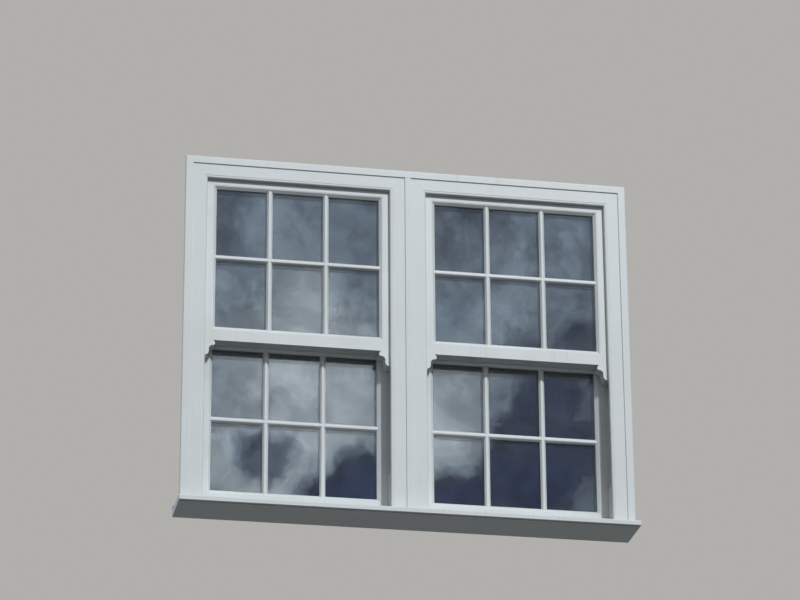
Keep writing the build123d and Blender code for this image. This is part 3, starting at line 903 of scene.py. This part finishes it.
def pile_strip(low: Vector, high: Vector, size: PileSize = PileSize()) -> bmesh.types.BMesh:
    """Brush pile that fills a box: a woven backing and a row of tufts along its longest side.

    Args:
        low: Lowest corner of the box.
        high: Highest corner.
        size: Sizes of the tufts.

    Returns:
        The mesh.
    """
    span = high - low
    middle = (low + high) / 2
    along = 2 if span.z > span.x else 0
    tuft = span.copy()
    tuft[along] = size.tuft
    mesh = bmesh.new()
    count = int(span[along] / size.pitch)
    for index in range(count):
        place = middle.copy()
        place[along] = low[along] + (index + 0.5) * span[along] / count
        sway = Vector()
        sway[along] = size.lean * math.sin(index * size.lean_step)
        verts = add_block(mesh, place, tuft)
        bmesh.ops.translate(mesh, vec=sway, verts=[v for v in verts if v.co.y > place.y])
    add_block(mesh, middle, Vector((span.x, span.y * size.backing, span.z)))
    return mesh


@dataclass(frozen=True)
class WeldSize:
    """Sizes of a weld bead.

    It is cut off at past_corner, a share of the mitre's length, and edges under a sliver are dropped.
    """

    half_width: float
    proud: float
    past_corner: float = 1.04
    sliver: float = 0.002 * MM


def corner_seams(
    node: str, left: float, right: float, rows: Sequence[tuple[float, int]], face: float, size: WeldSize
) -> bmesh.types.BMesh:
    """Thin weld beads that follow a node's surface across its mitred corners.

    Args:
        node: The node that carries them.
        left: Place of its left outer edge along X.
        right: Place of its right outer edge.
        rows: Height of each row of corners, and the sign of the way inward.
        face: Width of the mitred sections.
        size: Sizes of the beads.

    Returns:
        The mesh.
    """
    reach = face * math.sqrt(2) * size.past_corner
    mitres = [
        (Vector((x, 0, z)), Vector((way_x, 0, way_z)))
        for x, way_x in ((left, 1), (right, -1))
        for z, way_z in rows
    ]
    bands = []
    for corner, across in mitres:
        along = Vector((across.z, 0.0, -across.x)).normalized()
        band = node_copy(node)
        planes = (
            (corner + across.normalized() * reach, across),
            (corner + along * size.half_width, along),
            (corner - along * size.half_width, -along),
        )
        for place, way in planes:
            cut = bmesh.ops.bisect_plane(
                band, geom=all_parts(band), plane_co=place, plane_no=way, clear_outer=True
            )["geom_cut"]
            bmesh.ops.triangle_fill(band, use_beauty=True, edges=only(bmesh.types.BMEdge, cut))
        bmesh.ops.dissolve_degenerate(band, dist=size.sliver, edges=band.edges)
        bmesh.ops.recalc_face_normals(band, faces=band.faces)
        for vert in band.verts:
            out = vert.normal - along * vert.normal.dot(along)
            vert.co += out.normalized() * size.proud
        bands.append(band)
    return joined(bands)


@dataclass
class OuterFrame:
    """Both frames with their sill, trims, cover strips, track stops and spring tubes."""

    finishes: Finishes
    body: str = "outer_frame"
    edge_round: float = 0.6 * MM
    frame_face: float = 68.0 * MM
    weld: WeldSize = WeldSize(0.45 * MM, 0.10 * MM)
    window_offset: float = 420.0 * MM
    stop_face: float = 352.0 * MM
    stop_screw_inset: float = 35.0 * MM

    def build(self) -> None:
        """Makes and dresses all its pieces."""
        self._sections()
        self._stop_screws()
        self._welds()

    def _sections(self) -> None:
        """Extruded and moulded parts, and the spring tubes of the balances."""
        done = self.finishes
        frames = ["left_frame", "right_frame", "left_trim", "right_trim", "head_trim"]
        for node in [*frames, "mullion_cover_outer", "mullion_cover_inner"]:
            dress_copy(node, done.frame_pvc, self.body, Slot.PVC)
        dress_copy("sill", done.sill_pvc, self.body, Slot.PVC)
        dress_copy("sill_end_caps", done.sill_pvc, self.body, Slot.PVC, self.edge_round)
        dress_copy("mullion_coupler", done.frame_pvc, self.body, Slot.PVC)
        dress_copy("track_stop_blocks", done.nylon_white, self.body, Slot.PVC, self.edge_round)
        dress_copy("balance_tubes", done.tube, self.body, Slot.TUBE)

    def _stop_screws(self) -> None:
        """Two screws in the face of each track stop."""
        low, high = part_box("track_stop_blocks")
        middle_y = (low.y + high.y) / 2
        heights = (low.z + self.stop_screw_inset, high.z - self.stop_screw_inset)
        meshes = []
        for window in Hand:
            for side in Hand:
                x = window.value * self.window_offset + side.value * self.stop_face
                places = [Vector((x, middle_y, z)) for z in heights]
                meshes.append(screws_at(places, Vector((-side.value, 0, 0))))
        Piece("track_stop_screws", joined(meshes), self.finishes.steel, self.body, Slot.HARDWARE).place()

    def _welds(self) -> None:
        """Weld lines across the head corners of each frame, in a darker grey that paints the shade of the
        weld groove.
        """
        for window in Hand:
            node = f"{window.word}_frame"
            low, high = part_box(node)
            mesh = corner_seams(node, low.x, high.x, ((high.z, -1),), self.frame_face, self.weld)
            Piece(f"{node}_welds", mesh, self.finishes.weld, self.body, Slot.PVC).place()


@dataclass(frozen=True)
class ScrewPairs:
    """Two pairs of screws to each side of a sash's middle line, and how far their plate stands out."""

    offset: float
    spread: float
    plate: float


@dataclass
class SashAssembly:
    """One sash with its glazing, bars, seals, balances and hardware."""

    level: Level
    hand: Hand
    finishes: Finishes
    stile_face: float = 48.0 * MM
    rebate_depth: float = 15.0 * MM
    unit_thickness: float = 24.0 * MM
    seal_width: float = 2.0 * MM
    seal_depth: float = 2.2 * MM
    seal_round: float = 0.5 * MM
    meeting_extra: float = 9.0 * MM
    edge_round: float = 0.7 * MM
    hardware_round: float = 0.9 * MM
    thin_round: float = 0.4 * MM
    weld: WeldSize = WeldSize(0.40 * MM, 0.08 * MM)
    longest_shoe: float = 70.0 * MM
    rod_width: float = 5.6 * MM
    rod_thickness: float = 1.6 * MM
    rod_turn: float = 55.0 * MM
    bar_end_near: float = 0.6 * MM
    bar_scribe: float = 5.0 * MM
    fastener_screws: ScrewPairs = ScrewPairs(212.0 * MM, 22.0 * MM, 4.0 * MM)
    lift_screws: ScrewPairs = ScrewPairs(150.0 * MM, 22.0 * MM, 3.0 * MM)
    lift_screw_drop: float = 6.5 * MM
    name: str = field(init=False)

    def __post_init__(self) -> None:
        """Names the sash and reads its box, without the rail's part that meets the other sash."""
        self.name = f"{self.level.value}_{self.hand.word}"
        self.body = f"{self.name}_sash"
        self.low, self.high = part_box(self.body)
        self.middle_x = (self.low.x + self.high.x) / 2
        self.face_low_z = self.low.z + (self.meeting_extra if self.level is Level.UPPER else 0.0)
        self.face_high_z = self.high.z - (self.meeting_extra if self.level is Level.LOWER else 0.0)

    def build(self) -> None:
        """Makes and dresses all its pieces."""
        self._plastic_sections()
        self._glazing()
        self._pile()
        self._welds()
        self._balances()
        self._latches()
        if self.level is Level.UPPER:
            self._keeps()
        else:
            self._fasteners()
            self._lifts()

    def _add(
        self, part: str, mesh: bmesh.types.BMesh, look: bpy.types.Material, slot: Slot, *old: str
    ) -> None:
        """Places a new piece on the sash.

        Args:
            part: The piece's name after the sash's.
            mesh: Its mesh.
            look: Its finish.
            slot: Its material slot, kept but not used.
            old: The nodes that it stands for.
        """
        Piece(f"{self.name}_{part}", mesh, look, self.body, slot, old).place()

    def _dress(self, part: str, look: bpy.types.Material, slot: Slot, radius: float = 0.0) -> None:
        """Dresses a node of the sash by its own shape with rounded edges.

        Args:
            part: The node's name after the sash's.
            look: Its finish.
            slot: Its material slot, kept but not used.
            radius: Rounding of its outward edges, or zero.
        """
        dress_copy(f"{self.name}_{part}", look, self.body, slot, radius)

    def _plastic_sections(self) -> None:
        """Welded sash, beads, bars and horns."""
        pvc = self.finishes.sash_pvc
        self._dress("sash", pvc, Slot.PVC)
        dress_node(f"{self.name}_beads", pvc)
        self._bars()
        if self.level is Level.UPPER:
            self._dress("horns", pvc, Slot.PVC, self.edge_round)

    def _bars(self) -> None:
        """Glazing bars, whose ends are scribed into the sloping edges of the sash and its beads."""
        node = f"{self.name}_glazing_bars"
        mesh = node_copy(node)
        edges = (
            (0, self.low.x + self.stile_face, -1),
            (0, self.high.x - self.stile_face, 1),
            (2, self.face_low_z + self.stile_face, -1),
            (2, self.face_high_z - self.stile_face, 1),
        )
        for axis, place, way in edges:
            ends = [v for v in mesh.verts if abs(v.co[axis] - place) < self.bar_end_near]
            step = Vector()
            step[axis] = way * self.bar_scribe
            bmesh.ops.translate(mesh, vec=step, verts=ends)
        self._add("glazing_bars_dressed", mesh, self.finishes.sash_pvc, Slot.PVC, node)

    def _glazing(self) -> None:
        """Glass, spacer bar and the seals on both faces of the glass."""
        dress_node(f"{self.name}_glass", self.finishes.glass)
        dress_node(f"{self.name}_spacer", self.finishes.spacer)
        width = self.high.x - self.low.x - 2 * self.stile_face
        height = self.face_high_z - self.face_low_z - 2 * self.stile_face
        middle_z = (self.face_low_z + self.face_high_z) / 2
        glass_y = self.low.y + self.rebate_depth
        rings = []
        for y in (glass_y - self.seal_depth, glass_y + self.unit_thickness):
            ring = rectangle_ring(width, height, self.seal_width, self.seal_depth, self.seal_round)
            rings.append(moved(ring, Matrix.Translation((self.middle_x, y, middle_z))))
        self._add("glazing_seals", joined(rings), self.finishes.seal, Slot.PVC)

    def _pile(self) -> None:
        """Brush pile in the grooves of the stiles and, on an upper sash, of its meeting rail."""
        node = f"{self.name}_pile_seals"
        strips = [pile_strip(low, high) for low, high in solid_boxes(node)]
        self._add("brush_pile", joined(strips), self.finishes.pile, Slot.PILE, node)

    def _welds(self) -> None:
        """Weld lines across the four mitred corners, in a darker grey that paints the shade of the weld
        groove.
        """
        rows = ((self.face_low_z, 1), (self.face_high_z, -1))
        mesh = corner_seams(self.body, self.low.x, self.high.x, rows, self.stile_face, self.weld)
        self._add("welds", mesh, self.finishes.weld, Slot.PVC)

    def _balances(self) -> None:
        """Shoes with pivot bars, and the spiral rods that stand on the shoes."""
        node = f"{self.name}_balance_carriages"
        blocks, rods = [], []
        for low, high in solid_boxes(node):
            middle, size = (low + high) / 2, high - low
            if size.z > self.longest_shoe:
                rod = twisted_rod(self.rod_width, self.rod_thickness, size.z, self.rod_turn)
                rods.append(moved(rod, Matrix.Translation((middle.x, middle.y, low.z))))
            else:
                block = bmesh.new()
                add_block(block, middle, size)
                soften(block, self.hardware_round)
                blocks.append(block)
        self._add("balance_shoes", joined(blocks), self.finishes.nylon_grey, Slot.NYLON_GREY, node)
        self._add("spiral_rods", joined(rods), self.finishes.steel, Slot.NYLON_GREY)

    def _latches(self) -> None:
        """Tilt latches, each on its own body."""
        for side in Hand:
            name = f"{self.name}_{side.word}_latch"
            dress_copy(name, self.finishes.nylon_white, name, Slot.NYLON_WHITE, self.thin_round)

    def _keeps(self) -> None:
        """Fastener keeps on the meeting rail."""
        self._dress("keeps", self.finishes.hardware, Slot.HARDWARE, self.thin_round)

    def _fasteners(self) -> None:
        """Fastener bases with their screws, and the cam arms."""
        self._dress("fastener_bases", self.finishes.hardware, Slot.HARDWARE, self.hardware_round)
        for side in Hand:
            name = f"{self.name}_{side.word}_arm"
            dress_copy(name, self.finishes.hardware, name, Slot.HARDWARE, self.hardware_round)
        low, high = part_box(f"{self.name}_fastener_bases")
        pairs = self.fastener_screws
        mesh = self._screws(pairs, (low.y + high.y) / 2, low.z + pairs.plate, Vector((0, 0, 1)))
        self._add("fastener_screws", mesh, self.finishes.steel, Slot.HARDWARE)

    def _lifts(self) -> None:
        """Finger lifts and their screws."""
        self._dress("lifts", self.finishes.hardware, Slot.HARDWARE, self.hardware_round)
        low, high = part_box(f"{self.name}_lifts")
        pairs = self.lift_screws
        mesh = self._screws(pairs, low.y + pairs.plate, high.z - self.lift_screw_drop, Vector((0, 1, 0)))
        self._add("lift_screws", mesh, self.finishes.steel, Slot.HARDWARE)

    def _screws(self, pairs: ScrewPairs, y: float, z: float, out: Vector) -> bmesh.types.BMesh:
        """Two pairs of screws in one row.

        Args:
            pairs: How the row is spread.
            y: Place of the row along Y.
            z: Its height.
            out: The way out of the plate.

        Returns:
            One mesh.
        """
        steps = (side.value * pairs.offset + way.value * pairs.spread for side in Hand for way in Hand)
        return screws_at([Vector((self.middle_x + step, y, z)) for step in steps], out)


@dataclass(frozen=True)
class PhotoCamera:
    """Camera of the photograph, below the window and to its left."""

    focal_pixels: float = 3485.17
    image_width: int = 800
    sensor: float = 36.0
    azimuth: float = 10.78
    elevation: float = 22.95
    roll: float = -0.37
    position: Triple = (-2.29713, -11.89259, -4.26117)
    clip: tuple[float, float] = (0.1, 500.0)

    def build(self) -> None:
        """Makes the camera and gives it to the scene."""
        data = bpy.data.cameras.new("photo_camera")
        data.sensor_width = self.sensor
        data.lens = self.focal_pixels * self.sensor / self.image_width
        data.clip_start, data.clip_end = self.clip
        camera = bpy.data.objects.new("photo_camera", data)
        bpy.context.scene.collection.objects.link(camera)
        azimuth, elevation, roll = (math.radians(a) for a in (self.azimuth, self.elevation, self.roll))
        level = Vector((math.sin(azimuth), math.cos(azimuth), 0.0))
        forward = level * math.cos(elevation) + Vector((0.0, 0.0, math.sin(elevation)))
        right = Vector((math.cos(azimuth), -math.sin(azimuth), 0.0))
        up = right.cross(forward)
        across = right * math.cos(roll) + up * math.sin(roll)
        upward = up * math.cos(roll) - right * math.sin(roll)
        turn = Matrix((across, upward, -forward)).transposed()
        camera.matrix_world = Matrix.Translation(self.position) @ turn.to_4x4()
        bpy.context.scene.camera = camera


@dataclass(frozen=True)
class SkyPatch:
    """A place in the clouds that is thicker or thinner, seen by reflections alone.

    Its direction is given by tangents: across to the right and up, for one metre out of the window.
    The radius is in degrees, and in the core, a small share of the patch, it has its whole weight.
    """

    across: float
    up: float
    radius: float
    weight: float
    core: float = 0.12

    def toward(self) -> Triple:
        """Its direction, one long."""
        return tuple(Vector((self.across, -1.0, self.up)).normalized())


@dataclass(frozen=True)
class Billows:
    """One noise of the sky, by the inputs of its node."""

    scale: float
    detail: float
    roughness: float
    distortion: float = 0.0

    def build(self, book: NodeBook, vector: Shade, output: str = "Fac") -> Shade:
        """Makes the noise.

        Args:
            book: The world's node book.
            vector: Where it is read.
            output: The node's output that is wanted.

        Returns:
            The noise.
        """
        inputs = {
            "Vector": vector,
            "Scale": self.scale,
            "Detail": self.detail,
            "Roughness": self.roughness,
            "Distortion": self.distortion,
        }
        return book.node("ShaderNodeTexNoise", {"noise_dimensions": "3D"}, inputs, output)


@dataclass(frozen=True)
class SunLamp:
    """Soft lamp that shines along a direction, seen in the panes or not, with its angle in degrees."""

    name: str
    direction: Triple
    strength: float
    angle: float
    colour: Colour
    mirrored: bool = True

    def build(self) -> None:
        """Makes the lamp."""
        data = bpy.data.lights.new(self.name, "SUN")
        data.energy = self.strength
        data.angle = math.radians(self.angle)
        data.color = self.colour
        lamp = bpy.data.objects.new(self.name, data)
        lamp.rotation_mode = "QUATERNION"
        lamp.rotation_quaternion = Vector(self.direction).to_track_quat("-Z", "Y")
        lamp.visible_glossy = lamp.visible_transmission = self.mirrored
        bpy.context.scene.collection.objects.link(lamp)


@dataclass(frozen=True)
class Studio:
    """Plain backdrop and floor, a soft key from the upper right outside and a fill from the room side."""

    backdrop: Colour = (0.440, 0.430, 0.412)
    upper_light: Colour = (0.385, 0.398, 0.410)
    lower_light: Colour = (0.066, 0.068, 0.068)
    floor_colour: Colour = (0.426, 0.401, 0.373)
    floor_bounce: Colour = (0.080, 0.080, 0.078)
    floor_through: Colour = (0.030, 0.031, 0.032)
    floor_dark: Colour = (0.130, 0.145, 0.150)
    floor_light: Colour = (0.620, 0.640, 0.650)
    room: Colour = (0.016, 0.017, 0.018)
    cloud_gain: float = 2.2
    banks: Billows = Billows(9.0, 3.0, 0.5)
    wisps: Billows = Billows(24.0, 7.0, 0.70, 0.3)
    drift: Billows = Billows(85.0, 4.0, 0.6)
    tufts: Billows = Billows(95.0, 5.0, 0.62, 0.4)
    drift_size: float = 0.016
    tuft_contrast: float = 0.60
    tuft_middle: SkyPatch = SkyPatch(0.195, 0.410, 10.0, 1.0)
    tuft_inner: float = 5.0
    cover: Triple = (0.16, 0.20, 0.44)
    cloud_colours: tuple[tuple[float, Colour], ...] = (
        (0.02, (0.062, 0.088, 0.175)),
        (0.24, (0.090, 0.115, 0.170)),
        (0.52, (0.330, 0.420, 0.520)),
        (0.98, (0.780, 0.900, 0.990)),
    )
    patches: tuple[SkyPatch, ...] = (
        SkyPatch(0.141, 0.396, 2.6, 0.24),
        SkyPatch(0.172, 0.400, 2.4, 0.17),
        SkyPatch(0.140, 0.368, 1.0, 0.18),
        SkyPatch(0.205, 0.396, 1.3, 0.24),
        SkyPatch(0.204, 0.378, 0.9, 0.24),
        SkyPatch(0.1465, 0.377, 0.62, -0.66),
        SkyPatch(0.164, 0.365, 0.45, -0.40),
        SkyPatch(0.179, 0.3665, 1.00, -0.64),
        SkyPatch(0.203, 0.362, 0.80, -0.56),
        SkyPatch(0.227, 0.363, 1.20, -0.30),
        SkyPatch(0.228, 0.388, 1.60, -0.12),
        SkyPatch(0.257, 0.386, 2.30, -0.16),
    )
    floor_z: float = -14.5
    floor_size: float = 500.0
    key: SunLamp = SunLamp("key_light", (-0.257, 0.745, -0.616), 2.1, 5.0, (0.936, 0.982, 1.0))
    fill: SunLamp = SunLamp("fill_light", (-0.56, -0.72, -0.41), 2.2, 50.0, (0.96, 0.985, 1.0), False)

    def build(self) -> None:
        """Makes world, floor and lamps."""
        bpy.context.scene.view_settings.view_transform = "Standard"
        self._world()
        self._floor()
        self.key.build()
        self.fill.build()

    def _world(self) -> None:
        """Backdrop for the camera, broken cloud for reflections, even light for the rest."""
        world = bpy.data.worlds.new("studio_world")
        bpy.context.scene.world = world
        world.use_nodes = True
        book = NodeBook(world.node_tree)
        direction = book.node("ShaderNodeTexCoord", output="Generated")
        sky = self._sky(book, direction)
        upward = book.node("ShaderNodeSeparateXYZ", None, {"Vector": direction}, "Z")
        inward = book.node("ShaderNodeSeparateXYZ", None, {"Vector": direction}, "Y")
        even = book.mix(upward.between(-0.5, 0.5), self.lower_light, self.upper_light)
        through = book.mix((0.0 - inward).between(-0.02, 0.02), self.room, sky)
        colour = book.mix(book.ray("Glossy"), even, sky)
        colour = book.mix(book.ray("Transmission"), colour, through)
        colour = book.mix(book.ray("Camera"), colour, self.backdrop)
        background = book.node("ShaderNodeBackground", None, {"Color": colour, "Strength": 1.0})
        book.node_output("ShaderNodeOutputWorld", background)

    def _sky(self, book: NodeBook, direction: Shade) -> Shade:
        """Broken cloud with its thick and thin places.

        Args:
            book: The world's node book.
            direction: The way a ray goes.

        Returns:
            The sky's colour.
        """
        drift = book.vector("SUBTRACT", self.drift.build(book, direction, "Color"), (0.5, 0.5, 0.5))
        bent = book.vector("ADD", direction, book.vector("SCALE", drift, Scale=self.drift_size))
        unit = book.vector("NORMALIZE", bent)
        banks = self.banks.build(book, direction).between(0.25, 0.75)
        wisps = self.wisps.build(book, direction).between(0.25, 0.75)
        everywhere, bank_share, wisp_share = self.cover
        cover = banks * bank_share + wisps * wisp_share + everywhere
        for patch in self.patches:
            nearness = book.vector("DOT_PRODUCT", unit, patch.toward(), output="Value")
            edge = math.cos(math.radians(patch.radius))
            cover = cover + nearness.between(edge, 1.0 - (1.0 - edge) * patch.core) * patch.weight
        colour = book.node("ShaderNodeValToRGB", {"stops": self.cloud_colours}, {"Fac": cover}, "Color")
        around = book.vector("DOT_PRODUCT", direction, self.tuft_middle.toward(), output="Value")
        limits = (math.cos(math.radians(angle)) for angle in (self.tuft_middle.radius, self.tuft_inner))
        tufts = self.tufts.build(book, bent).between(0.25, 0.75)
        gain = self.cloud_gain * (around.between(*limits) * (tufts - 0.5) * self.tuft_contrast + 1.0)
        return book.vector("SCALE", colour, Scale=gain)

    def _floor(self) -> None:
        """Wide pale floor, far below so that low views stay over it."""
        mesh = bmesh.new()
        bmesh.ops.create_grid(mesh, x_segments=1, y_segments=1, size=self.floor_size / 2)
        bmesh.ops.translate(mesh, vec=(0, 0, self.floor_z), verts=mesh.verts)
        material, book = new_material("pale_floor")
        ground = book.noise(3.5, 5.0, warp=0.4).between(0.35, 0.68)
        mirrored = book.mix(ground, self.floor_dark, self.floor_light)
        base = book.mix(book.ray("Diffuse"), self.floor_colour, self.floor_bounce)
        base = book.mix(book.ray("Glossy"), base, mirrored)
        base = book.mix(book.ray("Transmission"), base, self.floor_through)
        book.surface(Base_Color=base, Roughness=0.9, Specular_IOR_Level=0.0)
        new_object("studio_floor", mesh, material)


def main() -> None:
    """Builds the studio and every sub-assembly in order."""
    Studio().build()
    PhotoCamera().build()
    finishes = Finishes()
    OuterFrame(finishes).build()
    for level in Level:
        for hand in Hand:
            SashAssembly(level, hand, finishes).build()


if __name__ == "__main__":
    main()
